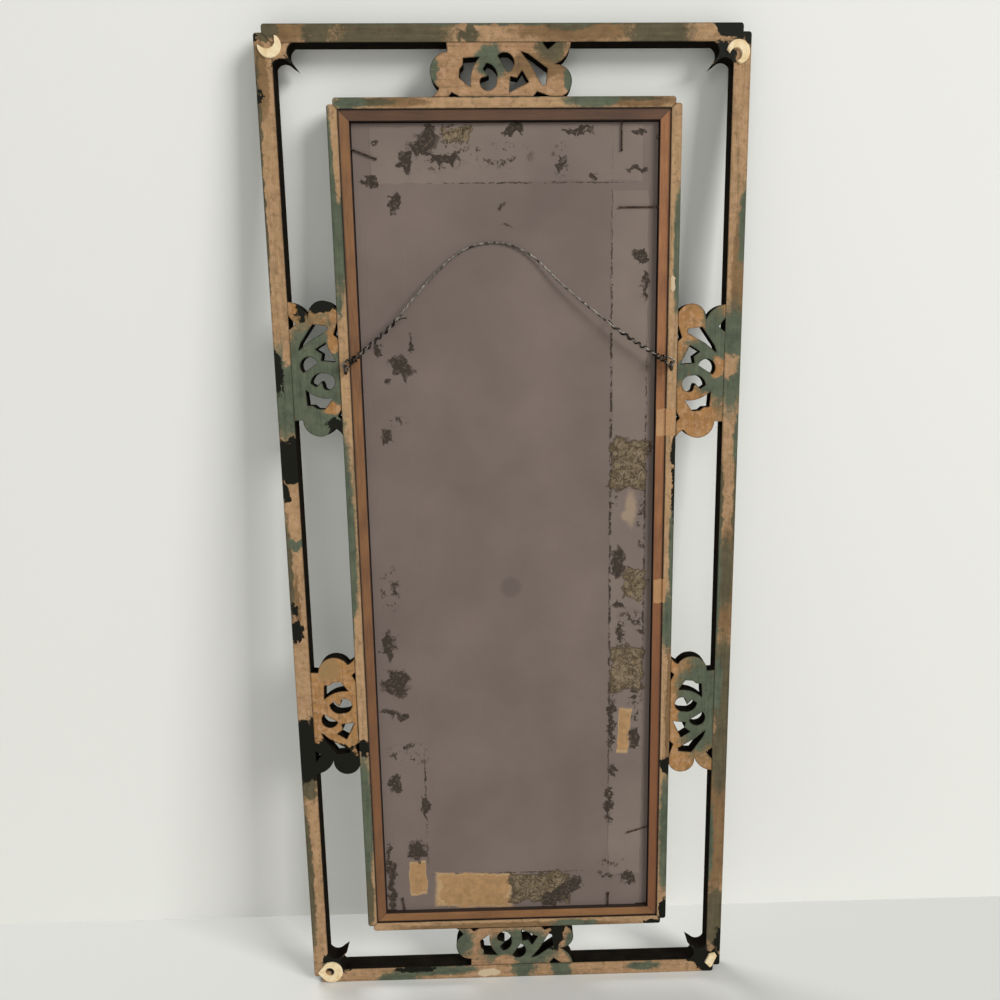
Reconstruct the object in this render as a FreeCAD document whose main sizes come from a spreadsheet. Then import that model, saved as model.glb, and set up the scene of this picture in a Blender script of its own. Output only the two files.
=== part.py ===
import FreeCAD, Part
import math
import os
from types import SimpleNamespace

import Sketcher
from FreeCAD import Placement, Rotation, Vector

# A lacquered wall mirror, in millimetres. Its face looks along +Y and its back, with the hanging wire,
# along -Y. Seen from behind, +X is to the right and +Z is up. The origin is the middle of the bottom
# edge, half way through the depth of the frame.
driving_sizes = {
    # outer frame
    "frame_width": 422,
    "frame_height": 914,
    "frame_depth": 20,
    "bar_width": 15,
    "corner_notch": 7,
    "corner_round": 2.5,
    "front_round": 2.2,
    "edge_ease": 0.8,
    "spur_reach": 17.5,
    "spur_depth": 17,
    # pierced frets between the two frames
    "fret_gap": 43,
    "fret_length": 121,
    "fret_depth": 14,
    "upper_fret_rise": 167.5,
    "lower_fret_drop": 166.5,
    "fret_offset": 3,
    "dowel_diameter": 5,
    "dowel_reach": 6,
    "dowel_play": 0.1,
    "dowel_end_play": 0.5,
    # inner frame, liners and what they hold
    "inner_width": 9.3,
    "inner_notch": 5.5,
    "lip_depth": 6,
    "lip_cover": 6,
    "liner_width": 9.2,
    "liner_recess": 1.5,
    "glass_thickness": 4,
    "glass_play": 0.8,
    "board_thickness": 3,
    "board_play": 0.9,
    # loose tongues in the mitres
    "outer_tongue_length": 8,
    "outer_tongue_width": 12,
    "outer_tongue_thickness": 3,
    "inner_tongue_length": 16,
    "inner_tongue_width": 14,
    "inner_tongue_thickness": 2.5,
    "tongue_play": 0.1,
    # brads, screw eyes and hanging wire
    "brad_diameter": 1.4,
    "brad_head_diameter": 2.4,
    "brad_head_height": 0.6,
    "brad_grip": 7,
    "brad_play": 0.1,
    "eye_drop": 287,
    "eye_inset": 6.5,
    "eye_stand": 5.5,
    "eye_ring_radius": 3.6,
    "eye_rod_radius": 1.1,
    "eye_shank_radius": 1.25,
    "eye_grip": 9,
    "eye_play": 0.1,
    "wire_diameter": 2,
    "wire_wrap_diameter": 4.2,
    "wire_loop_play": 0.5,
    "wire_rest_gap": 0.3,
    # bumper pads
    "pad_radius": 10,
    "pad_thickness": 2,
}

doc = FreeCAD.newDocument("wall_mirror")
sheet = doc.addObject("Spreadsheet::Sheet", "Sizes")
for row, (name, number) in enumerate(driving_sizes.items(), start=1):
    sheet.set(f"A{row}", str(number))
    sheet.setAlias(f"A{row}", name)
doc.recompute()


class Size:
    """A number that remembers the sheet formula it was worked out with."""

    def __init__(self, value, formula=None):
        self.value = float(value)
        self.formula = formula or f"({self.value})"

    def __add__(self, other):
        other = as_size(other)
        return Size(self.value + other.value, f"({self.formula} + {other.formula})")

    def __sub__(self, other):
        other = as_size(other)
        return Size(self.value - other.value, f"({self.formula} - {other.formula})")

    def __mul__(self, other):
        other = as_size(other)
        return Size(self.value * other.value, f"({self.formula} * {other.formula})")

    def __truediv__(self, other):
        other = as_size(other)
        return Size(self.value / other.value, f"({self.formula} / {other.formula})")

    def __neg__(self):
        return self * -1

    def __radd__(self, other):
        return self + other

    def __rsub__(self, other):
        return -self + other

    def __rmul__(self, other):
        return self * other


def as_size(number):
    return number if isinstance(number, Size) else Size(number)


def vector(u, v):
    return Vector(as_size(u).value, as_size(v).value, 0)


size = SimpleNamespace(**{name: Size(sheet.get(name), f"Sizes.{name}") for name in driving_sizes})

# Depths along Y.
back = -size.frame_depth / 2
front = size.frame_depth / 2
lip_back = front - size.lip_depth
glass_back = lip_back - size.glass_thickness
board_back = glass_back - size.board_thickness
liner_back = back + size.liner_recess

# Distances in from the outer edge of the frame.
inner_edge = size.bar_width + size.fret_gap
liner_edge = inner_edge + size.inner_width
opening_edge = liner_edge + size.liner_width
lip_width = size.inner_width + size.liner_width + size.lip_cover

# A side's own directions are s along it, clockwise from behind, and t inwards, with s = 0 at its middle
# and t = 0 on the outer edge of the frame. A corner is at the start of its side.
turns = {"top": 0, "right": 90, "bottom": 180, "left": 270}
side_lengths = {
    "top": size.frame_width,
    "right": size.frame_height,
    "bottom": size.frame_width,
    "left": size.frame_height,
}
bar_names = {"top": "top_rail", "right": "right_stile", "bottom": "bottom_rail", "left": "left_stile"}
corner_names = {"top": "top_left", "right": "top_right", "bottom": "bottom_right", "left": "bottom_left"}
next_sides = {"top": "right", "right": "bottom", "bottom": "left", "left": "top"}

sub_parts = []
cutters = {}


def spot(side, along, inward):
    """X and Z of a point given in a side's own directions."""
    middle = size.frame_height / 2
    half_width = size.frame_width / 2
    return {
        "top": (as_size(along), size.frame_height - inward),
        "right": (half_width - inward, middle - along),
        "bottom": (-as_size(along), as_size(inward)),
        "left": (-half_width + inward, middle + along),
    }[side]


def facing(side, lean=0):
    """Rotation that takes local X to s, local Z to t and local -Y to the front, leaning Z towards s."""
    flipped = Rotation(Vector(1, 0, 0), 180)
    return Rotation(Vector(0, 1, 0), turns[side]) * flipped * Rotation(Vector(0, 1, 0), lean)


def place(thing, x, y, z, rotation=Rotation()):
    base = [as_size(number) for number in (x, y, z)]
    thing.Placement = Placement(Vector(*[number.value for number in base]), rotation)
    for axis, number in zip("xyz", base):
        thing.setExpression(f"Placement.Base.{axis}", number.formula)


def bind(thing, **sizes):
    for name, number in sizes.items():
        thing.setExpression(name, as_size(number).formula)


def name_part(thing, label):
    thing.Label = label
    sub_parts.append(thing)
    return thing


def draw(sketch, outlines):
    """Draw closed outlines. A point (u, v) ends a line, and (via_u, via_v, u, v) ends an arc through via."""
    rules = []
    formulas = []

    def pin(geometry, end, point):
        for kind, number in zip(("DistanceX", "DistanceY"), point):
            number = as_size(number)
            formulas.append((len(rules), number.formula))
            rules.append(Sketcher.Constraint(kind, -1, 1, geometry, end, number.value))

    for outline in outlines:
        ends = []
        start = outline[-1][-2:]
        for point in outline:
            goal = point[-2:]
            if len(point) == 2:
                line = sketch.addGeometry(Part.LineSegment(vector(*start), vector(*goal)))
                ends.append((line, 1, 2))
            else:
                first, via, last = vector(*start), vector(*point[:2]), vector(*goal)
                clockwise = (via - first).cross(last - via).z < 0
                arc = Part.Arc(last, via, first) if clockwise else Part.Arc(first, via, last)
                curve = sketch.addGeometry(arc)
                ends.append((curve, 2, 1) if clockwise else (curve, 1, 2))
                guide = sketch.addGeometry(Part.Point(via), True)
                pin(guide, 1, point[:2])
                rules.append(Sketcher.Constraint("PointOnObject", guide, 1, curve))
            pin(ends[-1][0], ends[-1][2], goal)
            start = goal
        for (this, _, tail), (other, head, _) in zip(ends, ends[1:] + ends[:1]):
            rules.append(Sketcher.Constraint("Coincident", this, tail, other, head))
    sketch.addConstraint(rules)
    for index, formula in formulas:
        sketch.setExpression(f"Constraints[{index}]", formula)


def add_pad(body, outlines, thickness, depth=0):
    """Pad outlines drawn on the body's XZ plane, moved by depth towards its -Y, by a thickness."""
    sketch = body.newObject("Sketcher::SketchObject", f"{body.Name}_outline")
    plane = next(feature for feature in body.Origin.OriginFeatures if feature.Role == "XZ_Plane")
    sketch.AttachmentSupport = (plane, [""])
    sketch.MapMode = "FlatFace"
    sketch.setExpression("AttachmentOffset.Base.z", as_size(depth).formula)
    draw(sketch, outlines)
    pad = body.newObject("PartDesign::Pad", f"{body.Name}_pad")
    pad.Profile = sketch
    bind(pad, Length=thickness)
    return pad


def round_edges(body, radius, chosen):
    """Fillet the edges of the body's last feature that the test chooses."""
    doc.recompute()
    last = body.Tip
    edges = [f"Edge{number}" for number, edge in enumerate(last.Shape.Edges, start=1) if chosen(edge)]
    fillet = body.newObject("PartDesign::Fillet", f"{body.Name}_round")
    fillet.Base = (last, edges)
    bind(fillet, Radius=radius)


def plate(name, outlines, thickness, x, y, z, rotation=Rotation()):
    body = doc.addObject("PartDesign::Body", name)
    add_pad(body, outlines, thickness)
    place(body, x, y, z, rotation)
    return body


def cylinder(name, radius, height, x, y, z, rotation=Rotation()):
    rod = doc.addObject("Part::Cylinder", name)
    bind(rod, Radius=radius, Height=height)
    place(rod, x, y, z, rotation)
    return rod


def group(name, things):
    bundle = doc.addObject("Part::Compound", name)
    bundle.Links = things
    return bundle


def cut_out(target, *tools):
    cutters.setdefault(target, []).extend(tools)


def finish_part(blank, label):
    """Cut the holes and slots that belong to a blank, and name the result."""
    if label not in cutters:
        return name_part(blank, label)
    blank.Label = f"{label}_blank"
    cut = doc.addObject("Part::Cut", f"{label}_cut")
    cut.Base = blank
    cut.Tool = group(f"{label}_cutters", cutters[label])
    return name_part(cut, label)


def bar_outline(length, width, notch):
    """A bar with a square notch out of each end of its outer edge, then 45 degree mitres."""
    half = length / 2
    return [
        (notch - half, 0),
        (half - notch, 0),
        (half - notch, notch),
        (half - width, width),
        (width - half, width),
        (notch - half, notch),
    ]


def strip_outline(length, width):
    half = length / 2
    return [(-half, 0), (half, 0), (half - width, width), (width - half, width)]


def box_outline(length, width):
    return [
        (-length / 2, -width / 2),
        (length / 2, -width / 2),
        (length / 2, width / 2),
        (-length / 2, width / 2),
    ]


def rounded_bar(body):
    """Round a bar's end corners, its front edges and its outer back edges, but not its mitres."""
    depth = size.frame_depth.value
    tolerance = 1e-6

    def at(vertex, y):
        return abs(vertex.Y - y) < tolerance

    def end_corner(edge):
        ends = edge.Vertexes
        through = at(ends[0], 0) and at(ends[-1], -depth) or at(ends[0], -depth) and at(ends[-1], 0)
        return through and all(abs(vertex.Z) < tolerance for vertex in ends)

    def front_edge(edge):
        ends = edge.Vertexes
        step = ends[-1].Point - ends[0].Point
        mitre = edge.Curve.TypeId == "Part::GeomLine" and abs(abs(step.x) - abs(step.z)) < tolerance
        return all(at(vertex, -depth) for vertex in ends) and not mitre

    def back_outer_edge(edge):
        ends = edge.Vertexes
        outside = min(vertex.Z for vertex in ends) < size.corner_round.value + tolerance
        return all(at(vertex, 0) for vertex in ends) and outside

    round_edges(body, size.corner_round, end_corner)
    round_edges(body, size.front_round, front_edge)
    round_edges(body, size.edge_ease, back_outer_edge)


def add_tongues(frame, length, width, thickness, middle_depth, in_from_edge, edge_offset):
    """Loose tongues across the four mitres of a frame, and the slots that they sit in."""
    tongues = []
    play = size.tongue_play * 2
    for side, corner in corner_names.items():
        along = edge_offset + in_from_edge - side_lengths[side] / 2
        x, z = spot(side, along, edge_offset + in_from_edge)
        turn = facing(side, -45)
        y = middle_depth - thickness / 2
        outline = box_outline(length, width)
        tongues.append(plate(f"{frame}_tongue_{corner}", [outline], thickness, x, y, z, turn))
        outline = box_outline(length + play, width + play)
        slot_y = y - size.tongue_play
        slot = plate(f"{frame}_slot_{corner}", [outline], thickness + play, x, slot_y, z, turn)
        previous = next(name for name, after in next_sides.items() if after == side)
        cut_out(f"{frame}_{bar_names[side]}", slot)
        cut_out(f"{frame}_{bar_names[previous]}", slot)
    name_part(group(f"{frame}_tongues", tongues), f"{frame}_mitre_splines")


def add_frets():
    """Six pierced scrolls across the gap, each held by dowels in the outer and the inner frame."""
    drawn_length, drawn_gap = 121, 43
    # The scroll as drawn, u along it and v towards the outer frame, centred on its gap.
    scroll = [
        (35.1, 21.5), (39.8, 15.4), (47.5, 21.5), (59.5, 21.5),
        (55.2, 10.4, 45.0, 3.7),
        (60.4, -8.5, 52.0, -21.5),
        (42.0, -21.5), (30.5, -17.7), (27.1, -21.5),
        (-35.9, -21.5), (-42.4, -18.1), (-45.4, -21.5), (-59.7, -21.5),
        (-55.6, -18.4, -53.2, -14.5),
        (-60.4, 1.2, -45.5, 13.9),
        (-46.0, 21.5),
    ]
    piercings = [
        [(-32.2, 9.0), (-18.0, 9.9), (-24.2, 0.5, -26.1, -13.9), (-35.9, -6.8), (-35.3, 0.3), (-32.4, 3.8)],
        [
            (-12.4, 5.0),
            (-4.9, 0.3, -3.8, -8.0),
            (-6.4, -14.8, -11.9, -16.8),
            (-16.9, -14.0, -18.3, -9.9),
            (-17.1, -7.0, -14.5, -6.2),
            (-10.7, -4.7), (-15.6, 0.2),
        ],
        [(-2.7, 10.9), (9.4, 10.4, 5.6, -2.3)],
        [(7.8, -5.6), (13.5, -6.8), (17.8, -0.8), (23.6, -10.1), (6.6, -18.5)],
        [(16.5, 14.3), (23.0, 12.2), (39.6, 0.6), (38.2, -12.0), (34.9, -12.8), (25.0, 4.3)],
    ]
    dowel_stations = (-30, 22)
    # Each fret with its side, how far along that side it sits, and the way round that it is set.
    offset = size.fret_offset
    frets = {
        "fret_top": ("top", -offset, 1),
        "fret_bottom": ("bottom", offset, -1),
        "fret_left_upper": ("left", size.upper_fret_rise + offset, 1),
        "fret_left_lower": ("left", offset - size.lower_fret_drop, -1),
        "fret_right_upper": ("right", offset - size.upper_fret_rise, -1),
        "fret_right_lower": ("right", size.lower_fret_drop + offset, 1),
    }
    stretch = size.fret_length / drawn_length
    widen = size.fret_gap / drawn_gap

    def set_out(outline, way):
        points = []
        for point in outline:
            u_values = [number * way * stretch for number in point[0::2]]
            t_values = [(drawn_gap / 2 - number) * widen for number in point[1::2]]
            points.append([number for pair in zip(u_values, t_values) for number in pair])
        return points

    dowels = []
    radius = size.dowel_diameter / 2
    hole_radius = radius + size.dowel_play
    reach = size.dowel_reach
    hole_reach = reach + size.dowel_end_play
    y = back + size.fret_depth / 2
    for name, (side, station, way) in frets.items():
        x, z = spot(side, station, size.bar_width)
        outlines = [set_out(outline, way) for outline in [scroll] + piercings]
        blank = plate(f"{name}_scroll", outlines, size.fret_depth, x, back, z, facing(side))
        for frame, edge in (("outer", size.bar_width), ("inner", inner_edge)):
            for number, drawn in enumerate(dowel_stations):
                along = station + drawn * way * stretch
                dowel_name = f"{name}_{frame}_dowel_{number}"
                x, z = spot(side, along, edge - reach)
                dowels.append(cylinder(dowel_name, radius, reach * 2, x, y, z, facing(side)))
                x, z = spot(side, along, edge - hole_reach)
                hole = cylinder(f"{dowel_name}_hole", hole_radius, hole_reach * 2, x, y, z, facing(side))
                cut_out(name, hole)
                cut_out(f"{frame}_{bar_names[side]}", hole)
        finish_part(blank, name)
    name_part(group("dowel_group", dowels), "fret_dowels")


def add_outer_frame():
    for side, bar in bar_names.items():
        label = f"outer_{bar}"
        outline = bar_outline(side_lengths[side], size.bar_width, size.corner_notch)
        x, z = spot(side, 0, 0)
        blank = plate(f"{label}_bar", [outline], size.frame_depth, x, back, z, facing(side))
        rounded_bar(blank)
        finish_part(blank, label)


def add_spurs():
    """Cusped blocks that fill the inner corners of the outer frame."""
    drawn_reach = 17.5
    drawn_cusp = [
        (0, 0), (17.5, 0),
        (12.5, 7.4, 15.1, 13.4),
        (19.7, 19.7), (13.4, 15.1),
        (7.4, 12.5, 0, 17.5),
    ]
    grow = size.spur_reach / drawn_reach
    outline = [[number * grow for number in point] for point in drawn_cusp]
    for side, corner in corner_names.items():
        x, z = spot(side, size.bar_width - side_lengths[side] / 2, size.bar_width)
        block = plate(f"spur_{corner}", [outline], size.spur_depth, x, back, z, facing(side))
        name_part(block, f"corner_spur_{corner}")


def add_inner_frame():
    """Rebated bars: a full-depth strip behind, and a wider lip in front that covers the glass's edge."""
    for side, bar in bar_names.items():
        label = f"inner_{bar}"
        length = side_lengths[side] - inner_edge * 2
        x, z = spot(side, 0, inner_edge)
        blank = doc.addObject("PartDesign::Body", f"{label}_bar")
        add_pad(blank, [bar_outline(length, size.inner_width, size.inner_notch)], size.frame_depth)
        lip_outline = bar_outline(length, lip_width, size.inner_notch)
        add_pad(blank, [lip_outline], size.lip_depth, size.frame_depth - size.lip_depth)
        place(blank, x, back, z, facing(side))
        rounded_bar(blank)
        finish_part(blank, label)


def add_liners():
    for side in bar_names:
        label = f"liner_{side}"
        outline = strip_outline(side_lengths[side] - liner_edge * 2, size.liner_width)
        x, z = spot(side, 0, liner_edge)
        blank = plate(f"{label}_strip", [outline], lip_back - liner_back, x, liner_back, z, facing(side))
        finish_part(blank, label)


def add_panel(label, thickness, y, play):
    """A rectangular panel that drops into the liners with play all round."""
    panel = doc.addObject("Part::Box", f"{label}_panel")
    edge = opening_edge + play
    width = size.frame_width - edge * 2
    bind(panel, Length=width, Width=thickness, Height=size.frame_height - edge * 2)
    place(panel, -width / 2, y, edge)
    name_part(panel, label)


def add_brads():
    """Thin nails driven into the liners, which lie just behind the backing board and hold it in."""
    # Side, end of the side, distance from that end of the opening, length that shows, lean in degrees.
    driven = [
        ("left", 1, 21.9, 22.9, -21.3),
        ("top", 1, 33.1, 24.0, 0),
        ("right", -1, 71.7, 34.0, 0),
        ("right", 1, 88.2, 21.3, 16.6),
        ("bottom", -1, 40.6, 13.6, 0),
        ("bottom", 1, 19.2, 13.6, 9.8),
        ("right", -1, 13.6, 2.0, 0),
    ]
    brads = []
    play = size.brad_play
    shank_radius = size.brad_diameter / 2
    head_radius = size.brad_head_diameter / 2
    point_depth = opening_edge - size.brad_grip
    y = board_back - head_radius - play
    for number, (side, end, inset, shown, lean) in enumerate(driven):
        drift = math.sin(math.radians(lean))
        rise = math.cos(math.radians(lean))
        along = (side_lengths[side] / 2 - opening_edge - inset) * end - size.brad_grip * (drift / rise)
        length = size.brad_grip / rise + shown
        turn = facing(side, lean)
        x, z = spot(side, along, point_depth)
        shank = cylinder(f"brad_shank_{number}", shank_radius, length, x, y, z, turn)
        x, z = spot(side, along + length * drift, point_depth + length * rise)
        head = cylinder(f"brad_head_{number}", head_radius, size.brad_head_height, x, y, z, turn)
        brad = doc.addObject("Part::Fuse", f"brad_{number}")
        brad.Base = shank
        brad.Tool = head
        brads.append(brad)
        x, z = spot(side, along - play * drift, point_depth - play * rise)
        hole = cylinder(f"brad_hole_{number}", shank_radius + play, length, x, y, z, turn)
        cut_out(f"liner_{side}", hole)
    name_part(group("brad_group", brads), "retaining_brads")


eye_x = size.frame_width / 2 - inner_edge - size.eye_inset
eye_y = back - size.eye_stand
eye_z = size.frame_height - size.eye_drop


def add_screw_eyes():
    """Ring and shank of one rod, screwed into the inner stiles. The ring's hole runs along X."""
    into_frame = Rotation(Vector(1, 0, 0), -90)
    tip_length = 2.5
    for side, x in (("left", -eye_x), ("right", eye_x)):
        label = f"screw_eye_{side}"
        ring = doc.addObject("Part::Torus", f"{label}_ring")
        bind(ring, Radius1=size.eye_ring_radius, Radius2=size.eye_rod_radius)
        place(ring, x, eye_y, eye_z, Rotation(Vector(0, 1, 0), 90))
        top = eye_y + size.eye_ring_radius
        shank_length = back + size.eye_grip - tip_length - top
        shank = cylinder(f"{label}_shank", size.eye_shank_radius, shank_length, x, top, eye_z, into_frame)
        tip = doc.addObject("Part::Cone", f"{label}_tip")
        bind(tip, Radius1=size.eye_shank_radius, Radius2=size.eye_shank_radius / 4, Height=tip_length)
        place(tip, x, top + shank_length, eye_z, into_frame)
        eye = doc.addObject("Part::MultiFuse", f"{label}_fuse")
        eye.Shapes = [ring, shank, tip]
        name_part(eye, label)
        hole_radius = size.eye_shank_radius + size.eye_play
        hole_depth = size.eye_grip + size.eye_play
        hole = cylinder(f"{label}_hole", hole_radius, hole_depth, x, back, eye_z, into_frame)
        cut_out(f"inner_{side}_stile", hole)


def rounded_path(points):
    """Straight runs joined by tangent arcs, each as large as its two runs allow, and the arcs' radii."""
    share_of_run = 0.45
    edges = []
    radii = []
    at = points[0]
    for before, corner, after in zip(points, points[1:], points[2:]):
        coming = corner - before
        going = after - corner
        trim = share_of_run * min(coming.Length, going.Length)
        half_turn = coming.getAngle(going) / 2
        coming.normalize()
        going.normalize()
        radius = trim / math.tan(half_turn)
        start = corner - coming * trim
        end = corner + going * trim
        inward = going - coming
        inward.normalize()
        middle = corner + inward * (radius / math.cos(half_turn) - radius)
        edges.append(Part.LineSegment(at, start).toShape())
        edges.append(Part.Arc(start, middle, end).toShape())
        radii.append(radius)
        at = end
    edges.append(Part.LineSegment(at, points[-1]).toShape())
    return Part.Wire(edges), radii


def tube(label, points, diameter):
    """A round tube along a rounded route."""
    path, radii = rounded_path(points)
    spine = doc.addObject("Part::Feature", f"{label}_route")
    spine.Shape = path
    section = doc.addObject("Part::Circle", f"{label}_section")
    bind(section, Radius=diameter / 2)
    section.Placement = Placement(points[0], Rotation(Vector(0, 0, 1), points[1] - points[0]))
    sweep = doc.addObject("Part::Sweep", f"{label}_tube")
    sweep.Sections = [section]
    sweep.Spine = (spine, [f"Edge{number}" for number in range(1, len(path.Edges) + 1)])
    sweep.Solid = True
    doc.recompute()
    share = sweep.Shape.Volume / (math.pi * (diameter.value / 2) ** 2 * path.Length)
    print(f"{label}: {path.Length:.1f} mm long, volume {share:.4f} of section times length")
    print("  radii " + " ".join(f"{radius:.1f}" for radius in radii))
    return name_part(sweep, label)


def add_hanging_wire():
    """Twisted wire from eye to eye, looped through each ring and wound back on itself."""
    # The wire's route from the left eye to the right, x and height above the eyes, as it lies.
    drawn_eye_x = 146.5
    drawn_route = [
        (-132.6, 14.3), (-122.4, 22.6), (-109.6, 33.4), (-97.6, 45.4), (-86.4, 59.9), (-73.2, 74.4),
        (-56.4, 91.4), (-43.6, 101.6), (-31.0, 107.4), (-20.4, 109.6), (-10.6, 110.3), (-1.4, 109.2),
        (7.6, 106.4), (16.2, 102.2), (25.4, 95.6), (34.6, 86.8), (46.4, 74.8), (62.6, 60.6),
        (78.4, 48.2), (92.4, 36.8), (107.4, 26.2), (119.4, 18.3), (129.6, 12.2),
    ]
    rise = max(height for _, height in drawn_route)
    radius = size.wire_diameter.value / 2
    apex_y = board_back.value - radius - size.wire_rest_gap.value
    lean = math.asin((apex_y - eye_y.value) / rise)
    spread = eye_x.value / drawn_eye_x
    rod_height = size.eye_ring_radius.value
    # The two legs of a loop, as reach from the rod and distance aside, and the angles of its points.
    legs = ((10, 1.2), (4.6, 2.4))
    loop_angles = [math.radians(angle) for angle in (-80, -130, -180, -230, -280)]
    left_climb_angle = 41
    right_climb_angle = 28
    wrap_reach = 60
    loop_radius = size.eye_rod_radius.value + radius + size.wire_loop_play.value
    loop_radius = loop_radius / math.cos((loop_angles[0] - loop_angles[1]) / 2)

    def laid(x, height):
        """A point of the wire's own plane, which leans from the eyes to the backing board."""
        return Vector(x, eye_y.value + height * math.sin(lean), eye_z.value + height * math.cos(lean))

    def loop(way, climb):
        """Round the top rod of one ring: in along the lower leg, about the rod, and out along the upper."""
        along = math.radians(climb)
        lower = [(reach, -aside) for reach, aside in legs]
        about = [(loop_radius * math.cos(angle), loop_radius * math.sin(angle)) for angle in loop_angles]
        upper = [(reach, aside) for reach, aside in reversed(legs)]
        points = []
        for reach, aside in lower + about + upper:
            x = reach * math.cos(along) - aside * math.sin(along)
            height = rod_height + reach * math.sin(along) + aside * math.cos(along)
            points.append(laid(way * (x - eye_x.value), height))
        return points

    left_loop = loop(1, left_climb_angle)
    right_loop = loop(-1, right_climb_angle)
    route = [laid(x * spread, height) for x, height in drawn_route]
    tube("hanging_wire", left_loop[::-1] + route + right_loop, size.wire_diameter)
    for side, legs_end, standing in (("left", left_loop, route), ("right", right_loop, route[::-1])):
        start = (legs_end[0] + legs_end[-1]) / 2
        wrapped = [point for point in standing if (point - start).Length < wrap_reach]
        tube(f"wire_wrap_{side}", [start] + wrapped, size.wire_wrap_diameter)


def add_pads():
    """Cream bumper pads near the corners of the back, each worn and torn in its own way."""
    drawn_radius = 10
    grow = size.pad_radius / drawn_radius
    half_width = size.frame_width / 2
    crescent = [(-7.4, -0.4), (-0.8, -2.2, 4.6, 2.2), (4.6, 8.2), (6.6, 7.5), (0, -10, -9.9, 1.1)]
    hook = [(-7.0, -1.4), (1.5, 1.5, -1.4, -7.0), (1.7, -9.8), (7.07, 7.07, -9.8, 1.7)]
    lemon = [(-12.6, -1.0), (-4.2, -10.4), (13.3, -0.6, -3.6, 9.6)]
    lemon_hole = [(0, 4.5, 4.5, 0), (0, -4.5, -4.5, 0)]
    chip = [(-2.4, 7.6), (3.6, 8.8), (6.0, 4.8), (1.0, -6.6), (-0.9, -8.2), (-6.8, -2.2)]
    # Each pad's middle, in from the nearest side and the nearest end of the frame, and its outlines.
    pads = {
        "top_left": (13.2, 17.4, [crescent]),
        "top_right": (11.5, 23.5, [hook]),
        "bottom_left": (16.0, 13.1, [lemon, lemon_hole]),
        "bottom_right": (9.6, 13.4, [chip]),
    }
    for corner, (from_side, from_end, outlines) in pads.items():
        x = from_side - half_width if corner.endswith("left") else half_width - from_side
        z = size.frame_height - from_end if corner.startswith("top") else from_end
        outlines = [[[number * grow for number in point] for point in outline] for outline in outlines]
        name_part(plate(f"pad_{corner}", outlines, size.pad_thickness, x, back, z), f"bumper_pad_{corner}")


add_tongues(
    "outer",
    size.outer_tongue_length,
    size.outer_tongue_width,
    size.outer_tongue_thickness,
    (back + front) / 2,
    (size.corner_notch + size.bar_width) / 2,
    as_size(0),
)
add_tongues(
    "inner",
    size.inner_tongue_length,
    size.inner_tongue_width,
    size.inner_tongue_thickness,
    (lip_back + front) / 2,
    (size.inner_notch + lip_width) / 2,
    inner_edge,
)
add_frets()
add_brads()
add_screw_eyes()
add_outer_frame()
add_spurs()
add_inner_frame()
add_liners()
add_panel("mirror_plate", size.glass_thickness, glass_back, size.glass_play)
add_panel("backing_board", size.board_thickness, board_back, size.board_play)
add_hanging_wire()
add_pads()
doc.recompute()

for thing in doc.Objects:
    if "Invalid" in thing.State or "Error" in thing.State:
        raise RuntimeError(f"{thing.Label} failed: {thing.State}")
for part in sub_parts:
    if part.Shape.isNull() or not part.Shape.isValid():
        raise RuntimeError(f"{part.Label} has no valid shape")

os.makedirs("parts", exist_ok=True)
for part in sub_parts:
    part.Shape.exportStep(f"parts/{part.Label}.step")
    print(f"{part.Label}: {len(part.Shape.Solids)} solids, {part.Shape.Volume:.1f} mm3")
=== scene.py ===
import math

import bmesh
import bpy
import numpy as np
from mathutils import Matrix, Vector


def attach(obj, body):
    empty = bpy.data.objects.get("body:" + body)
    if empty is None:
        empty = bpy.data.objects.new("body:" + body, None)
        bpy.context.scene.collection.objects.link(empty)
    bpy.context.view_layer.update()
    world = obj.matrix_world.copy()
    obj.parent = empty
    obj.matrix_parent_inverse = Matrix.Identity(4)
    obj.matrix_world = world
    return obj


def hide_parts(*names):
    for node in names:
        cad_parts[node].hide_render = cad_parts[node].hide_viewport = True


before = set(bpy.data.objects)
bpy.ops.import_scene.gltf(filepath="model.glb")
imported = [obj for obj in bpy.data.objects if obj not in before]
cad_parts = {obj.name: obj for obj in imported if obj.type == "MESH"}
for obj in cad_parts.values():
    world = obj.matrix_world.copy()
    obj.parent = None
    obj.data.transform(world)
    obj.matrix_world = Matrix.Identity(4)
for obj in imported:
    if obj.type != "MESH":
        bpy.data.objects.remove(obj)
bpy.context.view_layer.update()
scene = bpy.context.scene
scene.view_settings.view_transform = "Standard"
mm = 0.001
print("frame loaded:", len(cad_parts), "nodes")

cameraLook = dict(
    place=(-0.0059, -0.8114, 0.6479),
    looking=(0.0251, 0.9811, -0.1916),
    right=(0.9995, -0.0278, -0.0115),
    lens=31.41, sensor=36, shift=(-0.027, 0.0143), near=0.01,
)


def addCamera(look):
    data = bpy.data.cameras.new("viewer")
    data.sensor_width = look["sensor"]
    data.lens = look["lens"]
    data.shift_x, data.shift_y = look["shift"]
    data.clip_start = look["near"]
    camera = bpy.data.objects.new("viewer", data)
    away = -Vector(look["looking"]).normalized()
    up = away.cross(Vector(look["right"])).normalized()
    turn = Matrix((up.cross(away), up, away)).transposed().to_4x4()
    camera.matrix_world = Matrix.Translation(look["place"]) @ turn
    scene.collection.objects.link(camera)
    scene.camera = camera


addCamera(cameraLook)
print("camera set")

acrossBack = (1, 0, 1)  # leaves the depth out, so that a pattern lies flat on the mirror's back
noiseMiddle = (0.5, 0.5, 0.5)
flakeGroup = 4  # flakes that are lost together, in a row


def linear(code):
    # sRGB hex to linear colour
    parts = np.array([int(code[at:at + 2], 16) for at in (1, 3, 5)]) / 255
    curve = np.where(parts <= 0.04045, parts / 12.92, ((parts + 0.055) / 1.055) ** 2.4)
    return (*curve.tolist(), 1.0)


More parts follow.
